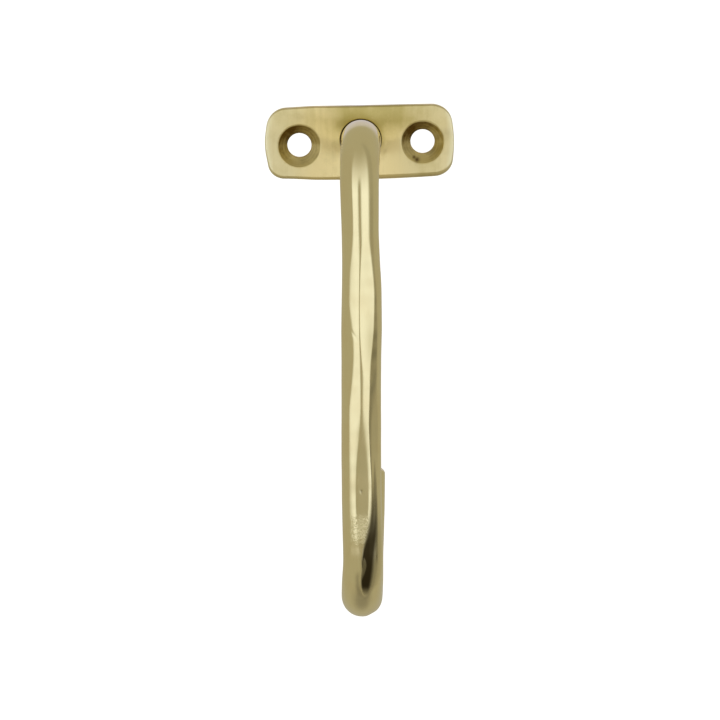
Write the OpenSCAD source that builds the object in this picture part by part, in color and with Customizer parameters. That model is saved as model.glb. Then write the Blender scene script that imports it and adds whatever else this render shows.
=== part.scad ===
// Wall hook handle: a hand-forged brass bar that leaves a small two-hole plate, drops in front of it
// and turns back up behind itself. The bar is held to the plate by one screw from behind.
//
// Frame: +X to the right, +Y into the wall, +Z up. The origin lies on the wall plane, which is the
// plate's back face, midway between the two wall screw holes.

/* [Back plate] */
// Length of the plate, end to end
plate_w = 38.8; // [36:0.1:46]
// Height of the plate
plate_h = 15; // [14:0.1:20]
// Thickness of the plate
plate_t = 4; // [4:0.1:6]
// Radius of the plate's corners
corner_r = 2.9; // [1.5:0.1:4]
// Radius of the plate's bowed ends
end_r = 27; // [20:1:60]
// How far the plate's middle lies to the right of the rod
plate_shift = -0.3; // [-0.5:0.1:0.5]
// How far the plate's middle lies above the line of the wall screws
plate_rise = 0.4; // [-0.5:0.1:0.8]
// How far the plate is turned from level, right end up, in degrees
plate_tilt = 1.8; // [0:0.1:3]

/* [Wall screw holes] */
// Diameter of each hole, for a No. 8 wood screw
hole_d = 5.1; // [4:0.1:5.5]
// Diameter of each countersink at the plate's front
sink_d = 8.5; // [6:0.1:9]
// Distance between the two holes
hole_pitch = 25.3; // [24:0.1:28]

/* [Rod] */
// Diameter of the round bar that the hook is forged from
rod_d = 8; // [7:0.1:8.5]
// How far the rod's axis lies above the line of the wall screws
rod_rise = 1; // [0:0.1:1.5]
// Distance from the wall to the axis of the front leg
leg_depth = 38; // [34:1:60]
// From the rod's axis at the plate down to the lowest point
drop = 95; // [80:1:150]
// Centreline radius of the upper bend
top_bend_r = 9.5; // [8:0.5:14]
// Centreline radius of the bend at the bottom of the hook
hook_bend_r = 11; // [9:0.5:14]
// From the lowest point up to the end of the tip
tip_rise = 29; // [22:1:50]
// How far the tip leg stands to the right of the front leg
tip_offset = 0.8; // [-2:0.1:2]
// Radius of the edge of the rod's end
tip_round = 1.6; // [0.5:0.1:2.5]

/* [Joint between rod and plate] */
// Diameter of the seat in the plate's front that the rod's end sits in
seat_d = 8.7; // [8.6:0.1:9.5]
// Depth of that seat
seat_depth = 0.8; // [0.4:0.1:0.8]
// Nominal diameter of the fixing screw
screw_d = 4; // [4:1:4]
// Length of the fixing screw, over its head
screw_len = 12; // [10:2:16]
// Normal thickness of the toothed washer under its head
washer_t = 0.4; // [0.3:0.05:0.45]
// Number of teeth on the washer
washer_teeth = 12; // [8:1:14]

/* [Hidden] */

$fn = 96;
brass = [0.80, 0.70, 0.44];
zinc = [0.72, 0.74, 0.76];
eps = 0.01;

rod_r = rod_d / 2;
seat_floor = plate_t - seat_depth;      // distance from the wall to the rod's end face
bend_start = leg_depth - top_bend_r;    // distance from the wall to the start of the upper bend
lowest = rod_rise - drop;
hook_z = lowest + rod_r + hook_bend_r;  // height of the centre of the hook's bend
tip_top = lowest + tip_rise;
leg_top = rod_rise - top_bend_r;        // height at which the front leg runs into the upper bend
leg_len = leg_top - hook_z;
hook_turn = asin(tip_offset / (2 * hook_bend_r));

// Fixing screw with a 90 degree countersunk head and a hexagon socket
head_sink = 0.2;          // the head lies this far inside the wall plane
head_d = 7.8;
head_rim = 0.25;
socket_af = 2.5;
socket_depth = 1.5;
thread_gap = 0.05;        // radial room between the screw and the hole tapped for it
screw_core_d = screw_d - 2 * thread_gap;
clear_d = 4.3;            // plain hole in the plate
tap_depth = 10.5;         // depth of full thread in the rod
drill_point = 59;         // half angle of the drill's point, in degrees

// The washer's wall is this long measured along the screw, and so is its step from cone to cone
washer_axial = washer_t * sqrt(2);
cone_top = head_sink + head_rim;

// Hammered flats on the front leg: how far down it as a share of its length, direction in degrees
// (0 faces the room, 90 the right), length and depth
flats = [
    [0.13, 90, 18, 0.25],
    [0.13, -90, 18, 0.25],
    [0.30, 20, 25, 0.22],
    [0.46, -22, 26, 0.18],
    [0.82, 2, 24, 0.24],
];
flat_width = 6;

// Turns a shape made along +Z so that it runs towards the room, from y = -from
module toward_room(from) {
    translate([0, -from, 0]) rotate([90, 0, 0]) children();
}

// The plate's outline: bowed ends that run smoothly into round corners
module plate_outline() {
    corner_z = plate_h / 2 - corner_r;
    bow_x = end_r - plate_w / 2;                    // an end's arc is centred this far past the middle
    corner_x = sqrt(pow(end_r - corner_r, 2) - pow(corner_z, 2)) - bow_x;
    bow_z = end_r * corner_z / (end_r - corner_r);  // height at which a bow meets its corners
    intersection() {
        translate([bow_x, 0]) circle(r = end_r);
        translate([-bow_x, 0]) circle(r = end_r);
        square([plate_w, 2 * bow_z], center = true);
    }
    square([2 * corner_x, plate_h], center = true);
    for (x = [-corner_x, corner_x], z = [-corner_z, corner_z])
        translate([x, z]) circle(r = corner_r);
}

// A hole through the plate with its countersink in the front face
module wall_screw_hole() {
    sink_depth = (sink_d - hole_d) / 2;
    toward_room(-1) cylinder(d = hole_d, h = plate_t + 2);
    toward_room(plate_t - sink_depth)
        cylinder(d1 = hole_d, d2 = sink_d + 2, h = sink_depth + 1);
}

// What the joint takes out of the plate: the seat, the plain hole and the countersink behind
module joint_hole() {
    wide_r = head_d / 2 + washer_axial + cone_top;   // where the cone meets the wall plane
    translate([0, 0, rod_rise]) {
        toward_room(seat_floor) cylinder(d = seat_d, h = seat_depth + 1);
        toward_room(-1) cylinder(d = clear_d, h = plate_t + 2);
        toward_room(-1) cylinder(r1 = wide_r + 1, r2 = clear_d / 2, h = wide_r + 1 - clear_d / 2);
    }
}

module back_plate() {
    color(brass)
    difference() {
        rotate([0, -plate_tilt, 0])
        difference() {
            translate([plate_shift, 0, plate_rise])
                toward_room(0) linear_extrude(plate_t) plate_outline();
            for (side = [-1, 1]) translate([side * hole_pitch / 2, 0, 0]) wall_screw_hole();
        }
        joint_hole();
    }
}

// A blunt wedge that takes a shallow flat off the front leg, deepest at its middle, as a hammer would
module flat_cutter(flat) {
    share = flat[0];
    direction = flat[1];
    half_len = flat[2] / 2;
    depth = flat[3];
    outside = 0.3;                                 // how far the wedge's slopes run on past the bar
    run_out = half_len * (1 + outside / depth);
    translate([0, -leg_depth, leg_top - share * leg_len])
        rotate([0, 0, direction - 90])
        rotate([90, 0, 0]) linear_extrude(flat_width, center = true) polygon([
            [rod_r - depth, 0],
            [rod_r + outside, run_out],
            [rod_r + flat_width, run_out],
            [rod_r + flat_width, -run_out],
            [rod_r + outside, -run_out]
        ]);
}

// The tip leg, with the edge of its end rounded
module tip_leg() {
    height = tip_top - hook_z;
    flat_r = rod_r - tip_round;
    cylinder(d = rod_d, h = height - tip_round);
    translate([0, 0, height - tip_round])
        rotate_extrude() intersection() {
            union() {
                translate([0, -1]) square([flat_r, tip_round + 1]);
                translate([flat_r, 0]) circle(r = tip_round);
            }
            translate([0, 0]) square([rod_d, tip_round]);
        }
}

// The hook's bend and tip, in a plane turned so that the tip stands a little to the right
module hook_end() {
    translate([0, -leg_depth, hook_z]) rotate([0, 0, -hook_turn]) {
        translate([0, hook_bend_r, 0]) rotate([-90, 0, -90])
            rotate_extrude(angle = 180) translate([hook_bend_r, 0]) circle(d = rod_d);
        translate([0, 2 * hook_bend_r, 0]) tip_leg();
    }
}

module bent_bar() {
    translate([0, 0, rod_rise])
        toward_room(seat_floor) cylinder(d = rod_d, h = bend_start - seat_floor);
    translate([0, -bend_start, leg_top]) rotate([180, -90, 0])
        rotate_extrude(angle = 90) translate([top_bend_r, 0]) circle(d = rod_d);
    translate([0, -leg_depth, hook_z]) rotate([0, 0, -hook_turn]) cylinder(d = rod_d, h = leg_len);
    hook_end();
}

module tapped_hole() {
    point = (screw_d / 2) / tan(drill_point);
    translate([0, 0, rod_rise]) {
        toward_room(seat_floor - 1) cylinder(d = screw_d, h = tap_depth + 1);
        toward_room(seat_floor + tap_depth - eps) cylinder(d1 = screw_d, d2 = 0, h = point);
    }
}

module hook_rod() {
    color(brass)
    difference() {
        bent_bar();
        tapped_hole();
        for (flat = flats) flat_cutter(flat);
    }
}

module fixing_screw() {
    cone_h = (head_d - screw_core_d) / 2;
    tip_chamfer = 0.5;
    shank_end = head_sink + screw_len - tip_chamfer;
    color(zinc)
    translate([0, 0, rod_rise])
    difference() {
        union() {
            toward_room(head_sink) cylinder(d = head_d, h = head_rim);
            toward_room(cone_top) cylinder(d1 = head_d, d2 = screw_core_d, h = cone_h);
            toward_room(cone_top + cone_h)
                cylinder(d = screw_core_d, h = shank_end - cone_top - cone_h);
            toward_room(shank_end)
                cylinder(d1 = screw_core_d, d2 = screw_core_d - 2 * tip_chamfer, h = tip_chamfer);
        }
        toward_room(head_sink - 1)
            cylinder(d = socket_af / cos(30), h = socket_depth + 1, $fn = 6);
    }
}

// A conical washer that fills the room between the head and its countersink, toothed at the rim
module lock_washer() {
    outer_r = head_d / 2;
    inner_r = clear_d / 2;
    cone_h = outer_r - inner_r;
    notch_w = 0.5;
    notch_len = 0.9;
    color(zinc)
    translate([0, 0, rod_rise])
    difference() {
        toward_room(cone_top) rotate_extrude() polygon([
            [outer_r, 0],
            [outer_r, washer_axial],
            [inner_r, cone_h + washer_axial],
            [inner_r, cone_h]
        ]);
        for (i = [0 : washer_teeth - 1]) rotate([0, i * 360 / washer_teeth, 0])
            translate([outer_r, -cone_top - cone_h / 2, 0])
            cube([2 * notch_len, cone_h + 2 * washer_axial, notch_w], center = true);
    }
}

back_plate();
hook_rod();
fixing_screw();
lock_washer();
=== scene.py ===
import math

import bmesh
import bpy
import numpy as np
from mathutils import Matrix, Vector
from mathutils.geometry import delaunay_2d_cdt


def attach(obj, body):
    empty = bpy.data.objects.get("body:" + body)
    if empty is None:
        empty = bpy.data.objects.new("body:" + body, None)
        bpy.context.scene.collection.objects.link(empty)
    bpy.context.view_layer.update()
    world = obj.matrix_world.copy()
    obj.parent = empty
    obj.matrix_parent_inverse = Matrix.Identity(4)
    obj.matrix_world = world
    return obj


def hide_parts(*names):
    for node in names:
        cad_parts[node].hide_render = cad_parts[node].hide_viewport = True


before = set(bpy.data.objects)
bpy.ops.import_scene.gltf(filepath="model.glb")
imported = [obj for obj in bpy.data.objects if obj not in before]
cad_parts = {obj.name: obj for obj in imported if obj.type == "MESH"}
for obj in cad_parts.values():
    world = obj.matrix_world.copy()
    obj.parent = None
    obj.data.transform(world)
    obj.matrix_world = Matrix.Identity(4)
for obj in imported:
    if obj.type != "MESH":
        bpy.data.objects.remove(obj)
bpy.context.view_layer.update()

MM = 0.001

# Dimensions in millimetres. The frame is +X right, +Y into the wall, +Z up. They are the CAD source's,
# apart from the lines marked "finished", where the hand-made surface differs from it by a little.
PLATE_W, PLATE_H, PLATE_T = 38.8, 15.0, 4.0
END_R = 27.0                     # of the plate's bowed ends
BOW_X = END_R - PLATE_W / 2      # a bowed end's arc is centred this far past the plate's middle
PLATE_SHIFT, PLATE_RISE = -0.3, 0.4   # the plate's middle, from the middle of its screw holes
PLATE_TILT = math.radians(1.8)   # the right end is up
HOLE_X = 12.65                   # from the middle to each wall screw hole
HOLE_R, SINK_R = 2.5, 4.38       # finished: the holes and their countersinks
SINK_LOW = 0.15                  # finished: the countersinks lie this far below their holes
BAR_R, BAR_Z = 4.0, 1.0          # the bar's radius, and its axis's height at the plate
BAR_MIDDLE = (0, BAR_Z)
LEG_DEPTH = 38.0                 # from the wall to the front leg's axis
TOP_BEND_R = 10.5                # finished
HOOK_BEND_R, HOOK_Z = 11.0, -79.0
TIP_TOP, TIP_ROUND = -65.3, 1.35      # finished
SEAT_R, SEAT_FLOOR = 4.29, 3.2        # the radius is finished
SEAT_MIDDLE = (-0.05, BAR_Z - 0.22)   # finished: filed a little off the bar's axis
PLAIN_R, REAR_R = 2.15, 4.916    # the plate's plain hole, and its rear countersink at the wall
TAP_R, TAP_END = 2.0, 13.7       # the bar's tapped hole, and its end's distance from the wall
DRILL_POINT = math.radians(59)   # half angle of the point of that hole
TIP_OFFSET = 0.8                 # how far the tip leg stands to the right of the front leg
HOOK_TURN = math.asin(TIP_OFFSET / (2 * HOOK_BEND_R))

# Distances along the bar's centreline from its end in the plate. The stub between the plate and the
# upper bend is slightly arched: level at the plate, and climbing at this angle where the bend starts.
STUB_CLIMB = math.radians(6.3)
TOP_BEND = LEG_DEPTH - TOP_BEND_R * (1 + math.sin(STUB_CLIMB)) - SEAT_FLOOR
STUB_RISE = TOP_BEND * math.tan(STUB_CLIMB) / 2
LEG_START = TOP_BEND + TOP_BEND_R * (math.pi / 2 + STUB_CLIMB)
LEG_TOP_Z = BAR_Z + STUB_RISE - TOP_BEND_R * math.cos(STUB_CLIMB)
HOOK_START = LEG_START + LEG_TOP_Z - HOOK_Z
TIP_LEG = HOOK_START + HOOK_BEND_R * math.pi
BAR_END = TIP_LEG + TIP_TOP - HOOK_Z


def leg(z):
    """Distance along the bar of the height z on the front leg."""
    return LEG_START + LEG_TOP_Z - z


# ---------------------------------------------------------------- small tools

def smooth(a, b, x):
    t = np.clip((x - a) / (b - a), 0, 1)
    return t * t * (3 - 2 * t)


def bump(x, y, radius):
    """1 at the middle of a round spot, falling smoothly to nothing."""
    return np.exp(-(x * x + y * y) / (radius * radius))


def through(points, s, blur=2.5):
    """A smooth curve past a few given points (distance along the bar, value)."""
    step = 0.25
    grid = np.arange(-20, BAR_END + 20, step)
    xs, ys = zip(*points)
    line = np.interp(grid, xs, ys)
    half = int(blur / step)
    window = np.hanning(2 * half + 3)[1:-1]
    pad = np.pad(line, len(window) // 2, mode="edge")
    line = np.convolve(pad, window / window.sum(), mode="valid")
    return np.interp(s, grid, line)


def ripples(seed, count, low, high, s, theta):
    """Gentle uneven waves over the bar, closed round it. low and high are waves per mm along."""
    rng = np.random.RandomState(seed)
    total = np.zeros(np.broadcast(s, theta).shape)
    for _ in range(count):
        turns = rng.randint(0, 5)
        rate = rng.uniform(low, high) * 2 * math.pi
        total += np.cos(turns * theta + rate * s + rng.uniform(0, 2 * math.pi))
    return total / math.sqrt(count)


SHARP = math.radians(38)         # edges between faces that turn by more than this stay sharp


def new_object(name, verts, faces, material, masks=None):
    """A mesh object from millimetre coordinates, with float or vector masks kept as attributes."""
    mesh = bpy.data.meshes.new(name)
    mesh.from_pydata([tuple(v * MM) for v in np.asarray(verts, float)], [], faces)
    for key, values in (masks or {}).items():
        values = np.asarray(values, np.float32)
        if values.ndim == 1:
            mesh.attributes.new(key, "FLOAT", "POINT").data.foreach_set("value", values)
        else:
            mesh.attributes.new(key, "FLOAT_VECTOR", "POINT").data.foreach_set(
                "vector", values.ravel())
    bm = bmesh.new()
    bm.from_mesh(mesh)
    bmesh.ops.recalc_face_normals(bm, faces=bm.faces)
    bm.to_mesh(mesh)
    bm.free()
    mesh.polygons.foreach_set("use_smooth", [True] * len(mesh.polygons))
    mesh.set_sharp_from_angle(angle=SHARP)
    mesh.materials.append(material)
    obj = bpy.data.objects.new(name, mesh)
    bpy.context.scene.collection.objects.link(obj)
    return obj


SLIVER = 1e-6                    # triangles with less than half this area, in square mm, are left out
LEAN = 0.001                     # the grid of a sheet leans, so that its cells have one best diagonal


class Shell:
    """Rings of points joined into a mesh."""

    def __init__(self):
        self.verts, self.faces = [], []

    def ring(self, points):
        first = len(self.verts)
        self.verts.extend(np.asarray(points, float))
        return list(range(first, first + len(points)))

    def join(self, a, b):
        n = len(a)
        for i in range(n):
            j = (i + 1) % n
            self.faces.append((a[i], a[j], b[j], b[i]))

    def tube(self, rings):
        """Joins each ring to the next."""
        for a, b in zip(rings, rings[1:]):
            self.join(a, b)

    def close(self, ring, point):
        """Joins a ring to one point."""
        tip = self.ring([point])[0]
        n = len(ring)
        for i in range(n):
            self.faces.append((ring[i], ring[(i + 1) % n], tip))

    def sheet(self, outer, holes, y_of, spacing):
        """Fills between an outer ring and round holes with triangles, over a grid of points."""
        flat = [(self.verts[i][0], self.verts[i][2]) for i in outer]
        ids = list(outer)
        edges = [(k, (k + 1) % len(outer)) for k in range(len(outer))]
        for ring, _, _ in holes:
            base = len(ids)
            ids += ring
            flat += [(self.verts[i][0], self.verts[i][2]) for i in ring]
            edges += [(base + k, base + (k + 1) % len(ring)) for k in range(len(ring))]
        border = np.array([(self.verts[i][0], self.verts[i][2]) for i in outer])

        def inside(p, margin):
            for _, centre, radius in holes:
                if math.hypot(p[0] - centre[0], p[1] - centre[1]) < radius + margin:
                    return False
            a, b = border, np.roll(border, -1, axis=0)
            crossing = (a[:, 1] > p[1]) != (b[:, 1] > p[1])
            with np.errstate(divide="ignore", invalid="ignore"):
                at = a[:, 0] + (p[1] - a[:, 1]) / (b[:, 1] - a[:, 1]) * (b[:, 0] - a[:, 0])
            if np.count_nonzero(crossing & (p[0] < at)) % 2 == 0:
                return False
            return not margin or np.min(np.hypot(*(border - p).T)) > margin

        lo, hi = border.min(0), border.max(0)
        for x in np.arange(lo[0], hi[0], spacing):
            for z in np.arange(lo[1], hi[1], spacing):
                p = (x + LEAN * z, z)
                if inside(p, 0.45 * spacing):
                    ids.append(self.ring([(p[0], y_of(*p), p[1])])[0])
                    flat.append(p)
        made = delaunay_2d_cdt([Vector(p) for p in flat], edges, [], 0, 1e-7)
        for tri in made[2]:
            a, b, c = (made[0][i] for i in tri)
            middle = (a + b + c) / 3
            if abs((b - a).cross(c - a)) > SLIVER and inside((middle.x, middle.y), 0):
                self.faces.append(tuple(ids[made[3][i][0]] for i in tri))


def disc(centre, radius, y, count=96):
    """A ring of points round an axis along Y, at the depth y (a number, or a function of x and z)."""
    points = []
    for k in range(count):
        a = 2 * math.pi * k / count
        x, z = centre[0] + radius * math.sin(a), centre[1] + radius * math.cos(a)
        points.append((x, y(x, z) if callable(y) else y, z))
    return points


# ---------------------------------------------------------------- materials

class Tree:
    """Short ways to add shader nodes."""

    def __init__(self, tree):
        self.tree = tree
        tree.nodes.clear()

    def node(self, kind, inputs=None, **settings):
        made = self.tree.nodes.new(kind)
        for key, value in settings.items():
            setattr(made, key, value)
        for key, value in (inputs or {}).items():
            if isinstance(value, bpy.types.NodeSocket):
                self.tree.links.new(value, made.inputs[key])
            else:
                made.inputs[key].default_value = value
        return made

    def math(self, operation, a, b=0.0, c=0.0):
        return self.node("ShaderNodeMath", {0: a, 1: b, 2: c}, operation=operation).outputs[0]

    def ramp(self, value, a, b, low=0.0, high=1.0):
        """Runs smoothly from low at a to high at b."""
        made = self.node("ShaderNodeMapRange", {0: value, 1: a, 2: b, 3: low, 4: high},
                         interpolation_type="SMOOTHSTEP")
        return made.outputs[0]

    def mix(self, share, a, b):
        """Between two colours."""
        made = self.node("ShaderNodeMix", data_type="RGBA")
        for key, value in ((0, share), (6, a), (7, b)):
            if isinstance(value, bpy.types.NodeSocket):
                self.tree.links.new(value, made.inputs[key])
            else:
                made.inputs[key].default_value = value if key == 0 else (*value, 1)
        return made.outputs[2]

    def noise(self, where, scale, detail=3.0, rough=0.55, stretch=(1, 1, 1)):
        """Noise at a number of cells per millimetre, drawn out along an axis by stretch."""
        size = [scale / MM / s for s in stretch]
        mapped = self.node("ShaderNodeVectorMath", {0: where, 1: size}, operation="MULTIPLY")
        made = self.node("ShaderNodeTexNoise", {"Vector": mapped.outputs[0], "Scale": 1.0,
                                                "Detail": detail, "Roughness": rough})
        return made.outputs[0]

    def attribute(self, name, socket="Fac"):
        return self.node("ShaderNodeAttribute", attribute_name=name).outputs[socket]

    def bump(self, height, strength, depth_mm, under=None):
        inputs = {"Height": height, "Strength": strength, "Distance": depth_mm * MM}
        if under is not None:
            inputs["Normal"] = under
        return self.node("ShaderNodeBump", inputs).outputs[0]


def material(name):
    made = bpy.data.materials.new(name)
    made.use_nodes = True
    return made, Tree(made.node_tree)


def finish_material(tree, shader):
    out = tree.node("ShaderNodeOutputMaterial")
    tree.tree.links.new(shader.outputs[0], out.inputs[0])


BRASS = (0.89, 0.79, 0.45)
BRASS_WARM = (0.87, 0.74, 0.40)
BRASS_STREAK = (0.80, 0.66, 0.34)
# painted shade, partly tarnish, in the forging lap and a pit
TARNISH_AND_SHADE = (0.055, 0.042, 0.018)
GRIME = (0.13, 0.075, 0.025)
BRASS_DULL = (0.68, 0.59, 0.31)
# the plate's middle is coloured brighter than its ends: painted light and shade
PLATE_BRIGHT = (0.99, 0.82, 0.40)
PLATE_END_PAINTED_SHADE = (0.90, 0.78, 0.42)
# tarnish, with painted shade towards the top of the plate
PATINA_AND_SHADE = (0.62, 0.51, 0.18)
# painted highlight along the plate's bowed ends
PLATE_RIM_HIGHLIGHT = (1.0, 0.91, 0.56)
PLATE_LINE = (0.72, 0.57, 0.26)
# stain, with the bar's painted shade on the plate
STAIN_AND_SHADE = (0.42, 0.32, 0.07)
# the countersinks' cut metal, and the painted shade in them
SINK_LIGHT = (0.90, 0.76, 0.34)
SINK_PAINTED_SHADE = (0.17, 0.10, 0.02)
ZINC, ZINC_DULL = (0.62, 0.63, 0.64), (0.50, 0.50, 0.50)
SPRING, SPRING_DULL = (0.42, 0.42, 0.42), (0.30, 0.29, 0.28)


def forged_brass():
    """Satin brass with faint warm patches and streaks along the bar, and painted shade, partly tarnish, in
    the lap and a pit.
    """
    made, t = material("forged_brass")
    place = t.node("ShaderNodeTexCoord").outputs["Object"]
    straight = t.attribute("straight", "Vector")
    patch = t.ramp(t.noise(place, 0.16, 3), 0.42, 0.68)
    colour = t.mix(t.math("MULTIPLY", patch, 0.5), BRASS, BRASS_WARM)
    streak = t.ramp(t.noise(straight, 2.2, 4, stretch=(1, 1, 12)), 0.45, 0.75)
    colour = t.mix(t.math("MULTIPLY", streak, 0.12), colour, BRASS_STREAK)
    colour = t.mix(t.attribute("dull"), colour, BRASS_DULL)
    lap = t.attribute("lap")
    # painted shade, partly tarnish, in the lap and the pit
    colour = t.mix(lap, colour, TARNISH_AND_SHADE)
    colour = t.mix(t.attribute("seat"), colour, GRIME)
    rough = t.math("ADD", 0.165, t.math("MULTIPLY", patch, 0.035))
    rough = t.math("ADD", rough, t.math("MULTIPLY", lap, 0.2))
    fine = t.noise(straight, 6.0, 3, stretch=(1, 1, 30))
    normal = t.bump(fine, 0.35, 0.004)
    grain = t.noise(straight, 3.1, 2, 0.6)
    coarse = t.math("MULTIPLY", grain, t.attribute("coarse"))
    normal = t.bump(coarse, 1.0, 0.07, normal)
    shader = t.node("ShaderNodeBsdfPrincipled", {
        "Base Color": colour, "Metallic": 1.0, "Roughness": rough, "Normal": normal})
    finish_material(t, shader)
    return made


def plate_brass():
    """Brass brushed up and down, tarnished and stained in places, with turned countersinks, and with
    painted shade, light and highlights.
    """
    made, t = material("plate_brass")
    place = t.node("ShaderNodeTexCoord").outputs["Object"]
    streaks = t.noise(place, 0.75, 3, 0.6, stretch=(1, 1, 9))
    lines = t.noise(place, 3.2, 5, 0.65, stretch=(1, 1, 22))
    blots = t.noise(place, 0.45, 4, 0.6)
    # painted shade: the ends are coloured darker than the middle
    colour = t.mix(t.attribute("end"), PLATE_BRIGHT, PLATE_END_PAINTED_SHADE)
    # tarnish, with painted shade towards the top and painted light just right of the bar
    tone = t.math("ADD", t.attribute("tarnish_and_shade"), t.ramp(blots, 0.35, 0.7, -0.12, 0.14))
    tone = t.math("ADD", tone, t.ramp(streaks, 0.35, 0.7, -0.06, 0.1))
    colour = t.mix(t.math("MINIMUM", t.math("MAXIMUM", tone, 0.0), 1.0), colour, PATINA_AND_SHADE)
    # stain, with the bar's painted shade round it
    colour = t.mix(t.attribute("stain_and_shade"), colour, STAIN_AND_SHADE)
    colour = t.mix(t.ramp(lines, 0.5, 0.8, 0, 0.2), colour, PLATE_LINE)
    # painted highlight along the bowed ends
    colour = t.mix(t.attribute("rim"), colour, PLATE_RIM_HIGHLIGHT)
    cut = t.attribute("cut")
    colour = t.mix(cut, colour, SINK_LIGHT)
    # painted shade in the countersinks
    shade = t.math("ADD", t.attribute("sink_shade"), t.ramp(blots, 0.4, 0.7, -0.1, 0.16))
    shade = t.math("MULTIPLY", t.math("MINIMUM", t.math("MAXIMUM", shade, 0.0), 1.0), cut)
    colour = t.mix(shade, colour, SINK_PAINTED_SHADE)
    colour = t.mix(t.attribute("dirt"), colour, GRIME)
    rough = t.math("ADD", 0.28, t.math("MULTIPLY", lines, 0.08))
    normal = t.bump(lines, 0.4, 0.008)
    # brushed marks that run up and down spread light to the sides
    sideways = t.node("ShaderNodeTangent", direction_type="RADIAL", axis="Z").outputs[0]
    shader = t.node("ShaderNodeBsdfPrincipled", {
        "Base Color": colour, "Metallic": 1.0, "Roughness": rough, "Normal": normal,
        "Anisotropic": 1.0, "Tangent": sideways})
    finish_material(t, shader)
    return made


def plain_steel(name, base, dull, roughness):
    """Grey metal with duller patches."""
    made, t = material(name)
    place = t.node("ShaderNodeTexCoord").outputs["Object"]
    patch = t.ramp(t.noise(place, 0.9, 4), 0.35, 0.7)
    colour = t.mix(t.math("MULTIPLY", patch, 0.6), base, dull)
    rough = t.math("ADD", roughness, t.math("MULTIPLY", patch, 0.12))
    normal = t.bump(t.noise(place, 7, 3), 0.3, 0.01)
    shader = t.node("ShaderNodeBsdfPrincipled", {
        "Base Color": colour, "Metallic": 1.0, "Roughness": rough, "Normal": normal})
    finish_material(t, shader)
    return made


# ---------------------------------------------------------------- the bar

# Sideways drift of the centreline and the half width across it, by distance along the bar
DRIFT = [(0, 0.08), (14, 0.08), (26, -0.02), (LEG_START - 3, -0.34), (leg(-10), -0.25),
         (leg(-15.5), -0.15), (leg(-21), 0), (leg(-26), 0.13), (leg(-34), 0.12), (leg(-38), 0.08),
         (leg(-45), 0.06), (leg(-60), 0.06), (leg(-69), 0.14), (leg(-76), 0.33),
         (HOOK_START + 2, 0.44), (HOOK_START + 7, 0.1), (HOOK_START + 12, -0.06),
         (HOOK_START + 18, -0.15), (TIP_LEG - 10, -0.12), (TIP_LEG - 4, -0.19), (TIP_LEG, -0.06),
         (TIP_LEG + 6, 0.12), (BAR_END, 0.2)]
GIRTH = [(5, 4.0), (LEG_START - 5, 3.93), (leg(-10), 3.84), (leg(-15.5), 3.73), (leg(-21), 3.8),
         (leg(-26), 3.97), (leg(-34), 4.05), (leg(-40), 3.95), (leg(-60), 3.97), (leg(-76), 3.98),
         (HOOK_START + 5, 4.0), (HOOK_START + 17, 4.1), (TIP_LEG, 3.95), (BAR_END, 3.92)]
# Hammered flats: distance along, direction in degrees (0 outwards, 90 right), half length, depth
FLATS = [
    (leg(-30.2), 19, 11.6, 0.32),
    (leg(-31), -26, 16, 0.12),
    (leg(-39.6), -42, 8.8, 0.235),
    (leg(-52), -22, 15, 0.13),
    (leg(-70), -26, 14, 0.1),
    (leg(-10), -44, 11, 0.22),
    (leg(-67), 2, 14, 0.42),
    (leg(-40), 40, 14, 0.1),
    (leg(-55.5), 46, 12, 0.28),
    (leg(-16), 90, 9, 0.05),
    (leg(-17), -90, 10, 0.05),
    (leg(-40), 150, 16, 0.2),
    (leg(-62), -155, 14, 0.22),
    (leg(-22), 178, 11, 0.18),
    (leg(-55), 100, 12, 0.06),
    (12, 35, 9, 0.05),
    (9, 160, 8, 0.1),
    (HOOK_START + 20, 30, 9, 0.14),
    (HOOK_START + 25, -40, 8, 0.12),
    (TIP_LEG + 6, 10, 9, 0.16),
    (TIP_LEG + 5, -75, 8, 0.1),
    (TIP_LEG + 8, 165, 7, 0.12),
]
# The forging lap: distance past the leg's end, its left and right edges in degrees, its depth, and how
# sharp its left edge is from 0 to 1
LAP = [(-19, 38, 44, 0.0, 0), (-14, 36, 49, 0.10, 0), (-9, 32, 52, 0.17, 0), (-6, 26, 50, 0.24, 0.2),
       (-3.6, 17, 48, 0.28, 0.4), (-0.8, 7, 43, 0.32, 0.8), (1.3, 2, 38, 0.33, 1), (2.6, -1, 36, 0.33, 1),
       (4, -3, 33, 0.32, 1), (5.4, -1, 28, 0.3, 1), (6.8, 5, 22, 0.12, 1), (7.4, 9, 17, 0, 1)]
# A thin flake is folded over the lap's left edge: where it starts past the leg's end, its length, its
# width as an angle, its thickness, and how much it lightens the painted shade in the lap
FLAKE_START, FLAKE_LENGTH, FLAKE_WIDTH, FLAKE_T, FLAKE_LIGHT = 0.7, 3.9, math.radians(12), 0.07, 0.22
# A dent and two raised spots on the front: height on the leg, direction in degrees, how far out, size
NICKS = [(-64.2, -6, -0.012, 0.35), (-63.7, -9, 0.01, 0.3), (-82.2, -12, 0.03, 0.3)]
TURN_LENGTH = 18                 # the leg turns towards the tip over this length, above the bend
BAR_SEGMENTS = 144
BAR_STEP = 0.3
BAR_FIRST = 0.3                  # the forged surface starts this far from the bar's end face
FACING = 0.2                     # a flat only cuts where the surface faces it by more than this


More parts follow.
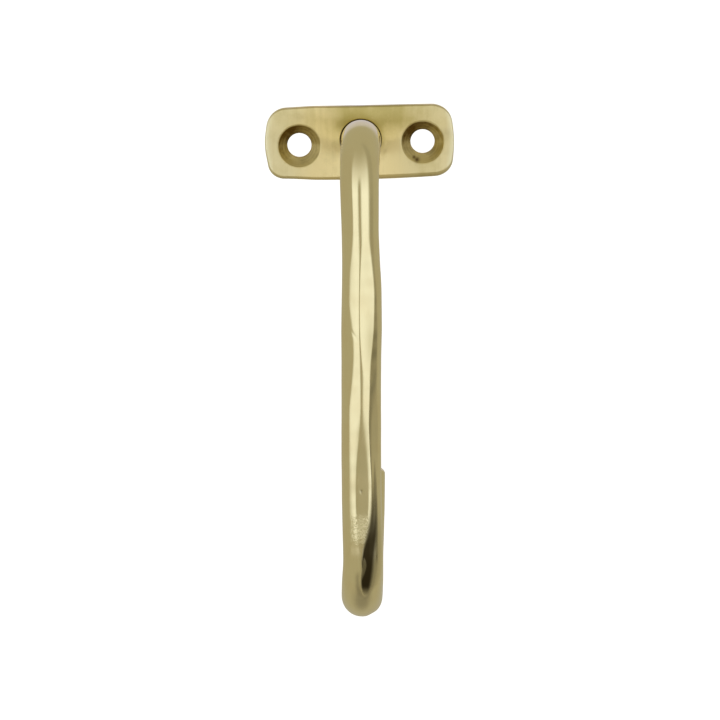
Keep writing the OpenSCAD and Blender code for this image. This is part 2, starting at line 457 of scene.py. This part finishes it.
def bar_frames(s):
    """Centre, outward and sideways directions of the section at each distance along the bar."""
    n = len(s)
    centre, out, side = np.zeros((n, 3)), np.zeros((n, 3)), np.zeros((n, 3))
    turn = HOOK_TURN * smooth(HOOK_START - TURN_LENGTH, HOOK_START, s)
    side[:, 0], side[:, 1] = np.cos(turn), -np.sin(turn)
    away = np.array([math.sin(HOOK_TURN), math.cos(HOOK_TURN), 0])
    foot = np.array([0, -LEG_DEPTH, HOOK_Z])
    up = np.array([0, 0, 1.0])
    for i, d in enumerate(s):
        if d <= TOP_BEND:
            share = max(0.0, d / TOP_BEND)
            climb = math.atan(share * math.tan(STUB_CLIMB))
            out[i] = (0, math.sin(climb), math.cos(climb))
            centre[i] = (0, -SEAT_FLOOR - d, BAR_Z + STUB_RISE * share ** 2)
        elif d <= LEG_START:
            a = (d - TOP_BEND) / TOP_BEND_R - STUB_CLIMB
            out[i] = (0, -math.sin(a), math.cos(a))
            centre[i] = np.array([0, -LEG_DEPTH + TOP_BEND_R, LEG_TOP_Z]) + TOP_BEND_R * out[i]
        elif d <= HOOK_START:
            out[i] = (-math.sin(turn[i]), -math.cos(turn[i]), 0)
            centre[i] = (0, -LEG_DEPTH, LEG_TOP_Z - (d - LEG_START))
        elif d <= TIP_LEG:
            a = (d - HOOK_START) / HOOK_BEND_R
            out[i] = -math.cos(a) * away - math.sin(a) * up
            centre[i] = foot + HOOK_BEND_R * (away + out[i])
        else:
            out[i] = away
            centre[i] = foot + 2 * HOOK_BEND_R * away + (d - TIP_LEG) * up
    return centre, out, side


def lap_at(s):
    """Edges (radians), depth and sharpness of the lap at each distance along the bar."""
    table = np.array(LAP)
    columns = [np.interp(s - HOOK_START, table[:, 0], table[:, k]) for k in range(1, 5)]
    return np.radians(columns[0]), np.radians(columns[1]), columns[2], columns[3]


def oval(half, angle):
    """Radius in one direction of a section that is BAR_R deep and half wide, to each side."""
    return 1 / np.sqrt((np.cos(angle) / BAR_R) ** 2 + (np.sin(angle) / half) ** 2)


def hammered(s, theta):
    """Radius of the bar with its flats, each blended softly into the round."""
    half = through(GIRTH, s)
    radius = oval(half, theta)
    for at, direction, length, depth in FLATS:
        phi = math.radians(direction)
        cut = depth * (1 - ((s - at) / length) ** 2)
        lean = np.cos(theta - phi)
        plane = (oval(half, phi) - np.maximum(cut, -1)) / np.maximum(lean, FACING)
        plane = np.where(lean > FACING, plane, 99)
        soft = 0.07 + 0.4 * depth
        blend = np.clip(0.5 + (plane - radius) / (2 * soft), 0, 1)
        radius = plane * (1 - blend) + radius * blend - soft * blend * (1 - blend)
    return radius


def forging_lap(s, theta):
    """Change of radius at the lap and its flake, and the painted shade, partly tarnish, at each place."""
    left, right, depth, sharp = lap_at(s)
    past = s - HOOK_START
    across = (theta - left) / (right - left)
    lip = 0.5 - 0.42 * sharp
    hollow = depth * smooth(-lip, lip, across) * (1 - smooth(0.1, 1.3, across))
    # over the lap's upper part the painted shade starts a little left of the hollow
    dark = smooth(-lip, lip, across + 0.12 * (1 - smooth(1, 3, past)))
    dark = dark * (1 - smooth(0.75, 1.2, across)) * smooth(0, 0.3, depth)

    share = np.clip((past - FLAKE_START) / FLAKE_LENGTH, 0, 1)
    width = FLAKE_WIDTH * np.sin(math.pi * share ** 0.7)
    flake = (theta > left) * (1 - smooth(-0.03, 0.03, theta - left - width)) * (width > 0.01)
    dark = dark * (1 - FLAKE_LIGHT * flake)

    # painted shade to the right of the lap, and a painted dark line of shade to its left
    stain_and_shade = 0.25 * smooth(0.8, 1.1, across) * (1 - smooth(1.1, 2.2, across)) * smooth(0.12, 0.3, depth)
    line = np.exp(-((theta - left + 0.2) / 0.12) ** 2) * smooth(2.4, 3.8, past)
    stain_and_shade = stain_and_shade + 0.3 * line * (1 - smooth(5.5, 8, past))
    beside = (past > LAP[0][0]) & (past < LAP[-1][0])
    return FLAKE_T * flake - hollow, np.where(beside, np.minimum(dark + stain_and_shade, 1), 0)


def small_marks(s, theta):
    """Change of radius at a pit, a scratch and the nicks on the front, and the painted shade in the pit.
    """
    def spot(z, degrees):
        return s - leg(z), BAR_R * (theta - math.radians(degrees))

    down, right = spot(-66.6, -0.5)
    change = 0.01 * bump(down - 0.4, right + 0.2, 0.25) - 0.045 * bump(down, right, 0.24)
    # painted shade in the pit
    dark = 0.6 * bump(down + 0.1, right, 0.22)
    down, right = spot(-35.2, -24)
    along_it, off_it = down + right, right - 0.75 * down
    change -= 0.035 * np.exp(-(along_it / 1.5) ** 2 - (off_it / 0.22) ** 2)
    for z, degrees, out, size in NICKS:
        change += out * bump(*spot(z, degrees), size)
    return change, dark


def bar_surface(s, theta):
    """Radius of the forged bar at each (distance, angle), and its masks."""
    s, theta = s[:, None], theta[None, :]
    radius = hammered(s, theta)
    worked = smooth(8, 30, s)
    radius += worked * 0.012 * ripples(3, 9, 0.02, 0.07, s, theta)
    radius += worked * 0.004 * ripples(5, 9, 0.1, 0.3, s, theta)
    lap_change, lap = forging_lap(s, theta)
    mark_change, pit = small_marks(s, theta)
    radius += lap_change + mark_change
    # worn where the leg runs into the bottom bend, and filed down a little on top beside the plate
    worn = through([(HOOK_START - 2.8, 0), (HOOK_START + 2, 0.28), (HOOK_START + 11, 0)], s, 2)
    radius -= worn * np.exp(-((theta + 0.15) / 0.8) ** 2)
    radius -= 0.17 * np.exp(-(s / 5) ** 2) * np.clip(np.cos(theta), 0, 1)
    # a pebbled patch low on the front
    front = 1 - smooth(0.3, 0.75, np.abs(theta + 0.05))
    coarse = front * smooth(leg(-70), leg(-73), s) * (1 - smooth(leg(-76.3), leg(-78), s))
    radius += 0.012 * coarse * ripples(11, 14, 0.6, 1.3, s, theta * 9)
    # a duller patch on the upper right flat
    dull = np.exp(-((s - leg(-37)) / 5.2) ** 2 - ((theta - 0.5) / 0.3) ** 2)
    # the lap mask carries painted shade, partly tarnish, in the lap and the pit
    return radius, {"lap": np.maximum(lap, pit), "coarse": coarse, "dull": dull}


def bar():
    """The bar, from the point of its tapped hole out over its end face and along to its tip."""
    theta = np.linspace(-math.pi, math.pi, BAR_SEGMENTS, endpoint=False)
    shoulder = BAR_END - TIP_ROUND
    s = np.linspace(BAR_FIRST, shoulder, int((shoulder - BAR_FIRST) / BAR_STEP))
    radius, patches = bar_surface(s, theta)
    # (distance, radius) of the rings before the forged surface, and (distance, change) of those after
    head = [(TAP_END - SEAT_FLOOR, TAP_R)] + [(d, TAP_R) for d in (8.0, 5.0, 2.0, 0.25)]
    head += [(0.0, TAP_R + 0.25), (0.0, 3.0), (0.0, BAR_R - 0.35), (0.08, BAR_R - 0.12)]
    tail = []
    for k in range(1, 9):
        a = k * math.pi / 16
        tail.append((shoulder + TIP_ROUND * math.sin(a), -TIP_ROUND * (1 - math.cos(a))))
    tail += [(BAR_END + 0.03, -TIP_ROUND - 0.9), (BAR_END + 0.05, -TIP_ROUND - 1.7)]
    along = np.concatenate([[d for d, _ in head], s, [d for d, _ in tail]])
    rows = [np.full(BAR_SEGMENTS, r) for _, r in head] + list(radius)
    rows += [radius[-1] + r for _, r in tail]

    centre, out, side = bar_frames(along)
    centre[:, 0] += through(DRIFT, along)
    shell = Shell()
    straight, rings = [], []
    c, sn = np.cos(theta), np.sin(theta)
    for i, row in enumerate(rows):
        across = c[:, None] * out[i] + sn[:, None] * side[i]
        rings.append(shell.ring(centre[i] + row[:, None] * across))
        straight += [(r * a * MM, r * b * MM, along[i] * MM) for r, a, b in zip(row, c, sn)]
    shell.tube(rings)
    shell.close(rings[0], (0, -TAP_END - TAP_R / math.tan(DRILL_POINT), BAR_Z))
    shell.close(rings[-1], centre[-1] + np.array([0, 0, 0.01]))

    masks = {"straight": straight + [(0, 0, 0), (0, 0, BAR_END * MM)]}
    for name, patch in patches.items():
        masks[name] = [*np.pad(patch, ((len(head), len(tail)), (0, 0))).ravel(), 0, 0]
    masks["seat"] = [*np.repeat(1 - smooth(0.5, 1.1, along), BAR_SEGMENTS), 1, 0]
    return new_object("forged_bar", shell.verts, shell.faces, forged_brass(), masks)


# ---------------------------------------------------------------- the plate

# Finished radii of the corners, by side (1 right or -1 left, 1 top or -1 bottom)
CORNERS = {(1, 1): 4.25, (1, -1): 3.7, (-1, -1): 3.6, (-1, 1): 4.4}
LEFT_FILED = 0.16                # how much the left end was filed off, away from its middle
CHATTER, CHATTER_PITCH = 0.012, 0.4   # the countersinking tool's marks: height and spacing
# How far past an opening's edge each ring on the front lies, and how much deeper than the front
SINK_LIP = ((0.3, 0), (0.12, 0.004), (0.05, 0.02), (0.0, 0.06))
SEAT_LIP = ((1.25, 0), (1.12, 0.002), (1.05, 0.01), (0.98, 0.002), (0.8, 0), (0.25, 0), (0.1, 0.008),
            (0.03, 0.03))
# Radius and y of the rings from there on, through the seat and the plain hole to the rear countersink
SEAT_WALL = ((SEAT_R - 0.01, -3.86), (SEAT_R - 0.03, -3.66), (SEAT_R - 0.05, -3.45), (SEAT_R - 0.08, -3.3))
JOINT_HOLE = ((BAR_R + 0.03, -SEAT_FLOOR - 0.04), (BAR_R - 0.05, -SEAT_FLOOR), (3.2, -SEAT_FLOOR),
              (PLAIN_R + 0.06, -SEAT_FLOOR), (PLAIN_R, -3.1), (PLAIN_R, -2.77), (2.9, -2.016),
              (3.6, -1.316), (4.3, -0.616), (REAR_R - 0.03, -0.03), (REAR_R + 0.05, 0.0))


def tilted(x, z):
    """From the plate's own level to the frame."""
    c, s = math.cos(PLATE_TILT), math.sin(PLATE_TILT)
    return x * c - z * s, x * s + z * c


def plate_outline():
    """Points and outward directions round the plate: bowed ends that run into round corners."""
    found = []
    for sx, sz in ((1, 1), (1, -1), (-1, -1), (-1, 1)):
        r = CORNERS[sx, sz]
        cz = PLATE_H / 2 - r
        cx = math.sqrt((END_R - r) ** 2 - cz ** 2) - BOW_X
        meet = math.atan2(cz, cx + BOW_X)
        corner = [(cx + r * math.cos(a), cz + r * math.sin(a), a)
                  for a in np.linspace(math.pi / 2, meet, 15)]
        end = [(END_R * math.cos(a) - BOW_X, END_R * math.sin(a), a)
               for a in np.linspace(meet, 0, 9)[1:]]
        quarter = [(sx * x, sz * z, sx * math.cos(a), sz * math.sin(a)) for x, z, a in corner + end]
        if sx * sz < 0:
            quarter = quarter[::-1]
        found += quarter
    # the long edges get points of their own
    full = []
    for k, p in enumerate(found):
        q = found[(k + 1) % len(found)]
        full.append(p)
        gap = math.hypot(q[0] - p[0], q[1] - p[1])
        if gap > 2:
            steps = int(gap / 0.6)
            full += [tuple(np.array(p) + (np.array(q) - np.array(p)) * j / steps)
                     for j in range(1, steps)]
        elif gap < 1e-6:
            full.pop()
    return [(x + LEFT_FILED * smooth(0.5, 4, abs(z)) * max(0.0, -nx), z + edge_wander(x, nz), nx, nz)
            for x, z, nx, nz in full]


def edge_wander(x, nz):
    """The long edges were filed by hand: the top one slopes a little, and the lower one bows out."""
    if nz > 0:
        return -(0.16 + 0.012 * x + 0.22 * smooth(-9, -16, x)) * nz
    return (0.3 * max(0.0, 1 - ((x - 3) / 14) ** 2) - 0.35 * smooth(-9, -16, x)) * nz


def front_y(x, z):
    """Front of the plate: hand-finished, so very slightly crowned."""
    crown = 0.05 * (z / 7.5) ** 2 + 0.05 * (x / 19) ** 4
    wave = 0.006 * math.sin(0.55 * x + 0.3 * z) + 0.005 * math.sin(0.31 * x - 0.8 * z + 1)
    return -PLATE_T + crown + wave + 0.011


def plate_ring(shell, outline, inset, y):
    """A ring inside the plate's outline by the inset, at the depth y."""
    points = []
    for px, pz, nx, nz in outline:
        x, z = tilted(px - inset * nx + PLATE_SHIFT, pz - inset * nz + PLATE_RISE)
        points.append((x, y, z))
    return shell.ring(points)


def arris_ring(shell, outline, angle, past=0.0):
    """A ring on the rounded front edge, from its wall (angle 0) to its face. It is rounder below."""
    points = []
    for px, pz, nx, nz in outline:
        r = 0.4 + (0.2 + 0.3 * smooth(-10, 5, px)) * max(0.0, -nz) ** 2
        inset = r * (1 - math.cos(angle)) + past
        x, z = tilted(px - inset * nx + PLATE_SHIFT, pz - inset * nz + PLATE_RISE)
        points.append((x, front_y(x, z) + r * (1 - math.sin(angle)), z))
    return shell.ring(points)


def front_ring(shell, centre, radius, deeper):
    """A round ring that is deeper than the plate's front by a number."""
    return shell.ring(disc(centre, radius, lambda x, z: front_y(x, z) + deeper))


def wall_screw_hole(shell, side):
    """One countersunk hole. Returns (ring, middle, radius) for where it meets the front and the back."""
    middle = tilted(side * HOLE_X, 0)
    low = (middle[0], middle[1] - SINK_LOW)
    rings = [front_ring(shell, low, SINK_R + r, deeper) for r, deeper in SINK_LIP]
    steps = 24
    wall = []
    for k in range(1, steps + 1):
        r = SINK_R - (SINK_R - HOLE_R) * k / steps
        fade = 1 - abs(2 * k / steps - 1) ** 4
        chatter = CHATTER * math.sin(2 * math.pi * r / CHATTER_PITCH) * fade
        wall.append((r, -PLATE_T + (SINK_R - r) + chatter + 0.03))
    wall += [(HOLE_R - 0.02, -2.2), (HOLE_R, -1.2), (HOLE_R, -0.25), (HOLE_R + 0.2, 0.0)]
    for r, y in wall:
        share = max(0.0, (r - HOLE_R) / (SINK_R - HOLE_R)) if y < -1.5 else 0.0
        rings.append(shell.ring(disc((middle[0], middle[1] - SINK_LOW * share), r, y)))
    shell.tube(rings)
    return (rings[0], low, SINK_R + SINK_LIP[0][0]), (rings[-1], middle, HOLE_R + 0.2)


def joint_hole(shell):
    """The seat for the bar, the plain hole and the rear countersink. Returns what wall_screw_hole does."""
    rings = [front_ring(shell, SEAT_MIDDLE, SEAT_R + r, deeper) for r, deeper in SEAT_LIP]
    rings += [shell.ring(disc(SEAT_MIDDLE, r, y)) for r, y in SEAT_WALL]
    rings += [shell.ring(disc(BAR_MIDDLE, r, y)) for r, y in JOINT_HOLE]
    shell.tube(rings)
    return (rings[0], SEAT_MIDDLE, SEAT_R + SEAT_LIP[0][0]), (rings[-1], BAR_MIDDLE, JOINT_HOLE[-1][0])


def plate():
    """The plate: its edge from back to front, its three holes, and the two faces between them."""
    shell = Shell()
    outline = plate_outline()
    edge = ((0.25, 0.0), (0.05, -0.08), (0.0, -0.3), (0.0, -1.2), (0.0, -2.2))
    rings = [plate_ring(shell, outline, inset, y) for inset, y in edge]
    rings += [arris_ring(shell, outline, k * math.pi / 16) for k in range(9)]
    rings.append(arris_ring(shell, outline, math.pi / 2, past=0.12))
    shell.tube(rings)
    holes = [wall_screw_hole(shell, -1), wall_screw_hole(shell, 1), joint_hole(shell)]
    shell.sheet(rings[-1], [front for front, _ in holes], front_y, 0.6)
    shell.sheet(rings[0], [back for _, back in holes], lambda x, z: 0.0, 1.5)
    verts = np.array(shell.verts)
    return new_object("plate", verts, shell.faces, plate_brass(), plate_masks(verts))


def plate_tarnish_and_shade(x, y, z):
    """Share of tarnish and painted shade, darker towards the top: most in the upper middle, some at the
    lower right, and none just right of the bar, where painted light offsets the bar's shade.
    """
    across = (0.3 + 0.7 * smooth(-9, -2, x)) * (1 - 0.7 * smooth(6, 15, x)) * smooth(-17, -12, x)
    tarnish_and_shade = np.clip((z + 5) / 9.7, 0, 1) ** 1.25 * across
    tarnish_and_shade = np.maximum(tarnish_and_shade, 0.28 * smooth(3.5, 6, z))
    tarnish_and_shade = np.maximum(tarnish_and_shade, 0.4 * bump(x - 12, z + 4, 4.5) * (1 - smooth(14, 18, x)))
    tarnish_and_shade -= 0.5 * np.exp(-((x - 7.6) / 3) ** 2) * (1 - smooth(1.5, 5, z))
    return np.clip(np.where(y > -0.5, 0.4, tarnish_and_shade), -0.4, 1)


def countersinks(x, y, z):
    """Where the countersinks are, and their painted shade: most above and to the left, in rings."""
    cut, sink_shade = np.zeros(len(x)), np.zeros(len(x))
    for side in (-1, 1):
        cx, cz = tilted(side * HOLE_X, 0)
        cz -= SINK_LOW
        r = np.hypot(x - cx, z - cz)
        within = (1 - smooth(SINK_R - 0.1, SINK_R + 0.06, r)) * (y > -3.99) * (y < -0.6)
        facing = (0.56 * (z - cz) - 0.25 * (x - cx)) / SINK_R
        facing -= 0.28 * (x - cx) * (z - cz) / np.maximum(r, 1) ** 2
        rings = 0.06 * np.sin(2 * math.pi * r / 0.55 + side)
        cut = np.maximum(cut, within)
        sink_shade = np.maximum(sink_shade, within * np.clip(0.43 + facing + rings, 0, 1))
    return cut, sink_shade


def stain_and_shade_round_bar(x, y, z, r):
    """Stain and painted shade of the bar where it meets the plate: strong above, wider on the left, and
    faint to its right.
    """
    off = np.where(z > BAR_Z, r, np.abs(x - SEAT_MIDDLE[0])) - SEAT_R
    reach = 0.8 + 1.1 * np.clip(z - BAR_Z, 0, 4) / 4 * smooth(3, -2, x)
    above = smooth(1.8, 4.4, z)
    strength = 0.7 * above + 0.35 * (1 - above) * (x > 0) * smooth(-1.5, 1, z)
    stain_and_shade = strength * np.exp(-(np.maximum(off, 0) / reach) ** 2)
    return np.where(y < -3.8, stain_and_shade, 0)


def plate_dirt(x, y, z, r):
    """Dirt in the seam round the bar, a few faint spots, and a splash in the right countersink."""
    seam = 1 - smooth(SEAT_R - 0.02, SEAT_R + 0.1, r)
    dirt = np.where(y < -2.7, 0.95 * seam, 0.3 * seam)
    for sx, sz, size, share in ((-12.6, 5.4, 1.0, 0.1), (17.6, 2.4, 1.0, 0.15), (4.9, -1.4, 0.4, 0.12)):
        dirt = np.maximum(dirt, share * bump(x - sx, z - sz, size))
    splash = np.maximum(bump(x - 11.5, z + 3.3, 0.5), bump(x - 10.9, z + 2.8, 0.35))
    return np.clip(np.maximum(dirt, 0.95 * splash), 0, 1)


def plate_masks(v):
    """Shares of each colour at each point of the plate."""
    x, y, z = v.T
    from_seat = np.hypot(x - SEAT_MIDDLE[0], z - SEAT_MIDDLE[1])
    from_end = END_R - np.hypot(np.abs(x - PLATE_SHIFT) + BOW_X, z - PLATE_RISE)
    cut, sink_shade = countersinks(x, y, z)
    # painted shade: the ends are coloured darker than the middle
    return {"end": np.maximum(1 - smooth(-16, -9, x), 0.8 * smooth(5.5, 12, x)),
            # tarnish, with painted shade towards the top and painted light just right of the bar
            "tarnish_and_shade": plate_tarnish_and_shade(x, y, z),
            # stain, with the bar's painted shade round it
            "stain_and_shade": stain_and_shade_round_bar(x, y, z, from_seat),
            # painted highlight along the bowed ends
            "rim": 1 - smooth(0.3, 1.4, from_end),
            # painted shade in the countersinks
            "cut": cut, "sink_shade": sink_shade,
            "dirt": plate_dirt(x, y, z, from_seat)}


# ---------------------------------------------------------------- screw and washer

# The head lies HEAD_SINK inside the wall plane, has a straight rim, and the screw ends at SCREW_END
HEAD_R, HEAD_SINK, HEAD_RIM, SCREW_END = 3.9, 0.2, 0.25, 12.2
CREST_R, ROOT_R, PITCH, THREAD_START = 1.95, 1.64, 0.7, 2.9
SOCKET_R, SOCKET_DEPTH = 2.5 / 2, 1.5
SCREW_SEGMENTS = 72
# Radius of each ring over the head and the plain neck, and its distance from the wall
HEAD_PROFILE = ((2.2, HEAD_SINK), (3.2, HEAD_SINK), (HEAD_R - 0.14, HEAD_SINK),
                (HEAD_R - 0.04, HEAD_SINK + 0.04), (HEAD_R, HEAD_SINK + 0.12),
                (HEAD_R, HEAD_SINK + HEAD_RIM), (3.3, 1.05), (2.6, 1.75), (CREST_R + 0.05, 2.4),
                (CREST_R, 2.5))


def hexagon(radius, y, count, share=1.0):
    """A ring that is a hexagon, 2 * radius across its flats, at share 1, and round at share 0."""
    points = []
    for k in range(count):
        a = 2 * math.pi * k / count
        flat = math.cos(math.radians(30)) / math.cos((a + math.pi / 6) % (math.pi / 3) - math.pi / 6)
        r = radius / math.cos(math.radians(30)) * (flat * share + (1 - share))
        points.append((r * math.sin(a), y, BAR_Z + r * math.cos(a)))
    return points


def thread_ring(off):
    """A ring on the thread, at a distance off the wall. The groove winds, and the end is chamfered."""
    points = []
    for k in range(SCREW_SEGMENTS):
        turn = k / SCREW_SEGMENTS
        phase = ((off - THREAD_START) / PITCH + turn) % 1
        groove = smooth(0.08, 0.45, phase) * (1 - smooth(0.55, 0.92, phase))
        groove *= smooth(THREAD_START, THREAD_START + 0.8, off)
        r = CREST_R - (CREST_R - ROOT_R) * groove
        r = min(r, CREST_R - 0.5 + max(0.0, SCREW_END - off))
        a = 2 * math.pi * turn
        points.append((r * math.sin(a), -off, BAR_Z + r * math.cos(a)))
    return points


def screw(look):
    """The fixing screw, from the bottom of its socket out over the head and along the thread."""
    shell = Shell()
    floor_y = -HEAD_SINK - SOCKET_DEPTH
    socket = ((0.5, floor_y - 0.25, 0.2), (SOCKET_R, floor_y, 1.0), (SOCKET_R, -HEAD_SINK - 0.9, 1.0),
              (SOCKET_R, -HEAD_SINK - 0.12, 1.0), (SOCKET_R + 0.14, -HEAD_SINK, 0.3))
    rings = [shell.ring(hexagon(r, y, SCREW_SEGMENTS, share)) for r, y, share in socket]
    rings += [shell.ring(disc(BAR_MIDDLE, r, -off, SCREW_SEGMENTS)) for r, off in HEAD_PROFILE]
    thread = np.arange(THREAD_START, SCREW_END - 0.001, PITCH / 10)
    rings += [shell.ring(thread_ring(off)) for off in thread]
    shell.tube(rings)
    shell.close(rings[0], (0, floor_y - 0.35, BAR_Z))
    shell.close(rings[-1], (0, -SCREW_END, BAR_Z))
    return new_object("fixing_screw_detail", shell.verts, shell.faces, look)


WASHER_T, TEETH = 0.4, 12


def washer(look):
    """A conical washer. Its teeth are cut between gaps at the rim, and each is slightly twisted."""
    axial = WASHER_T * math.sqrt(2)  # its thickness measured along the screw
    top = HEAD_SINK + HEAD_RIM
    per = 12                         # steps to each tooth and its gap
    count = TEETH * per
    radii = [PLAIN_R, 2.45, 2.75, 3.0, 3.25, 3.5, 3.75, HEAD_R]
    solid = 4                        # rings from the bore out that run all the way round
    verts, index, faces = [], {}, []
    for layer in (0, 1):
        for i, r in enumerate(radii):
            for k in range(count):
                tooth = (k % per) / (per - 2) * 2 - 1
                twist = 0.05 * tooth * max(0.0, (r - 3.0) / 0.9)
                y = top + (HEAD_R - r) + layer * axial + twist
                a = 2 * math.pi * (k - 5) / count
                index[layer, i, k] = len(verts)
                verts.append((r * math.sin(a), -y, BAR_Z + r * math.cos(a)))
    filled = set()
    for i in range(len(radii) - 1):
        for k in range(count):
            if i < solid - 1 or k % per < per - 2:
                filled.add((i, k))
    for i, k in sorted(filled):
        j = (k + 1) % count
        for layer in (0, 1):
            faces.append([index[layer, i, k], index[layer, i, j],
                          index[layer, i + 1, j], index[layer, i + 1, k]])
        sides = {(i - 1, k): ((i, k), (i, j)), (i + 1, k): ((i + 1, k), (i + 1, j)),
                 (i, (k - 1) % count): ((i, k), (i + 1, k)), (i, j): ((i, j), (i + 1, j))}
        for neighbour, (p, q) in sides.items():
            if neighbour not in filled:
                faces.append([index[(0, *p)], index[(0, *q)], index[(1, *q)], index[(1, *p)]])
    used = sorted({v for f in faces for v in f})
    new = {v: n for n, v in enumerate(used)}
    return new_object("lock_washer_detail", np.array([verts[v] for v in used]),
                      [[new[v] for v in f] for f in faces], look)


# ---------------------------------------------------------------- stage, light and camera

FLOOR_Z, FLOOR_R = -0.24, 12     # in metres
FLOOR_POINTS = 96
FLOOR_TONES = ((0.84, 0.84, 0.84), (0.87, 0.87, 0.86))


def floor():
    """A plain pale floor, well below the object, that neither lights it nor shows in it."""
    made, t = material("studio_floor")
    place = t.node("ShaderNodeTexCoord").outputs["Object"]
    shade = t.mix(t.noise(place, 0.004, 2), *FLOOR_TONES)
    diffuse = t.node("ShaderNodeBsdfDiffuse", {"Color": shade})
    glow = t.node("ShaderNodeEmission", {"Color": (1, 1, 1, 1), "Strength": 0.72})
    both = t.node("ShaderNodeAddShader", {0: diffuse.outputs[0], 1: glow.outputs[0]})
    finish_material(t, both)
    ring = [(FLOOR_R * math.cos(a), FLOOR_R * math.sin(a), FLOOR_Z)
            for a in np.linspace(0, 2 * math.pi, FLOOR_POINTS, endpoint=False)]
    mesh = bpy.data.meshes.new("studio_floor")
    mesh.from_pydata(ring, [], [list(range(FLOOR_POINTS))])
    mesh.materials.append(made)
    obj = bpy.data.objects.new("studio_floor", mesh)
    bpy.context.scene.collection.objects.link(obj)
    obj.visible_glossy = False
    obj.visible_diffuse = False


SURROUND = (0.44, 0.415, 0.335)
GAP_TONE = (0.38, 0.355, 0.28)
UNDERNEATH = (0.12, 0.11, 0.10)
CARD = (0.04, 0.04, 0.04)
BEHIND = (0.62, 0.60, 0.70)
SOFTBOX = (1.06, 1.10, 1.22)
# Edges of the light's parts, in degrees: (where it starts, where it is full)
BOX_SIDE, BOX_FOOT, BOX_TOP = (66, 50), (-13.5, -8.5), (74, -6)
GAP_SIDE, GAP_TOP = (14, 4), (34, 14)
CARD_LEFT, CARD_RIGHT = (60, 66), (97, 84)
BEHIND_HEIGHT, BEHIND_TALL, BEHIND_WIDE = 20, 25, 30     # its middle, and its reach up and sideways


def studio_light():
    """A studio round the object, as light by direction: two tall soft boxes in front, with a darker gap
    between them at the camera, in warm grey surroundings that are darker underneath, with a dark card
    to the right, strongest just below level, and an oval light behind, a little above level. Bearings
    are in degrees from the front, to the right, and heights in degrees above level. The camera itself
    sees white."""
    world = bpy.data.worlds.new("studio")
    bpy.context.scene.world = world
    world.use_nodes = True
    t = Tree(world.node_tree)
    place = t.node("ShaderNodeTexCoord").outputs["Generated"]
    parts = t.node("ShaderNodeSeparateXYZ", {0: place}).outputs
    bearing = t.math("MULTIPLY", t.math("ARCTAN2", parts[0], t.math("MULTIPLY", parts[1], -1)),
                     180 / math.pi)
    height = t.math("MULTIPLY", t.math("ARCSINE", parts[2]), 180 / math.pi)

    def both(a, b):
        return t.math("MULTIPLY", a, b)

    def between(sides):
        return both(t.ramp(bearing, -sides[0], -sides[1]), t.ramp(bearing, *sides))

    boxes = both(between(BOX_SIDE), both(t.ramp(height, *BOX_FOOT), t.ramp(height, *BOX_TOP)))
    gap = both(between(GAP_SIDE), t.ramp(height, *GAP_TOP))
    key = both(boxes, t.math("SUBTRACT", 1.0, gap))
    card = both(t.ramp(bearing, *CARD_LEFT), t.ramp(bearing, *CARD_RIGHT))
    # the card is faint above level, darkest just below it, and fades out further down
    card = both(card, both(t.ramp(height, -5.8, -9, 0.16, 0.75), t.ramp(height, -12, -22, 1, 0.3)))
    below = t.ramp(height, -45, -80, 0, 0.5)
    behind = t.math("MULTIPLY", t.math("ARCTAN2", parts[0], parts[1]), 180 / math.pi)
    up_off = t.math("DIVIDE", t.math("SUBTRACT", height, BEHIND_HEIGHT), BEHIND_TALL)
    round_off = t.math("DIVIDE", behind, BEHIND_WIDE)
    back = t.ramp(t.math("ADD", both(up_off, up_off), both(round_off, round_off)), 1.2, 0.6)
    colour = t.mix(gap, SURROUND, GAP_TONE)
    colour = t.mix(below, colour, UNDERNEATH)
    colour = t.mix(card, colour, CARD)
    colour = t.mix(back, colour, BEHIND)
    colour = t.mix(key, colour, SOFTBOX)
    light = t.node("ShaderNodeBackground", {"Color": colour, "Strength": 1.0})
    plain = t.node("ShaderNodeBackground", {"Color": (1, 1, 1, 1), "Strength": 1.0})
    seen = t.node("ShaderNodeLightPath").outputs["Is Camera Ray"]
    shown = t.node("ShaderNodeMixShader", {0: seen, 1: light.outputs[0], 2: plain.outputs[0]})
    out = t.node("ShaderNodeOutputWorld")
    t.tree.links.new(shown.outputs[0], out.inputs[0])


AIM = Vector((-0.2, -38.0, -40.7)) * MM
CAMERA_DISTANCE, CAMERA_DOWN = 0.9, math.radians(6.59)
LENS = 226.58                    # a long lens, in mm


def camera():
    """Looks straight at the front, a little from above."""
    data = bpy.data.cameras.new("camera")
    data.lens = LENS
    data.sensor_width = 36.0
    data.clip_end = 50
    obj = bpy.data.objects.new("camera", data)
    bpy.context.scene.collection.objects.link(obj)
    back = Vector((0, -math.cos(CAMERA_DOWN), math.sin(CAMERA_DOWN)))
    obj.location = AIM + back * CAMERA_DISTANCE
    obj.rotation_mode = "QUATERNION"
    obj.rotation_quaternion = (-back).to_track_quat("-Z", "Y")
    bpy.context.scene.camera = obj


# ---------------------------------------------------------------- the whole

def build():
    """Makes the four pieces. Each rides on the one body and stands for its CAD node."""
    made_bar, made_plate = bar(), plate()
    zinc = plain_steel("zinc_plate", ZINC, ZINC_DULL, 0.3)
    spring = plain_steel("spring_steel", SPRING, SPRING_DULL, 0.35)
    pieces = [(made_bar, "hook_rod", "forged_brass"),
              (made_plate, "back_plate", "plate_brass"),
              (screw(zinc), "fixing_screw", "zinc_plated_steel"),
              (washer(spring), "lock_washer", "spring_steel")]
    for obj, node, slot in pieces:
        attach(obj, "root")
        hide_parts(node)


build()
floor()
studio_light()
camera()
bpy.context.scene.view_settings.view_transform = "Standard"
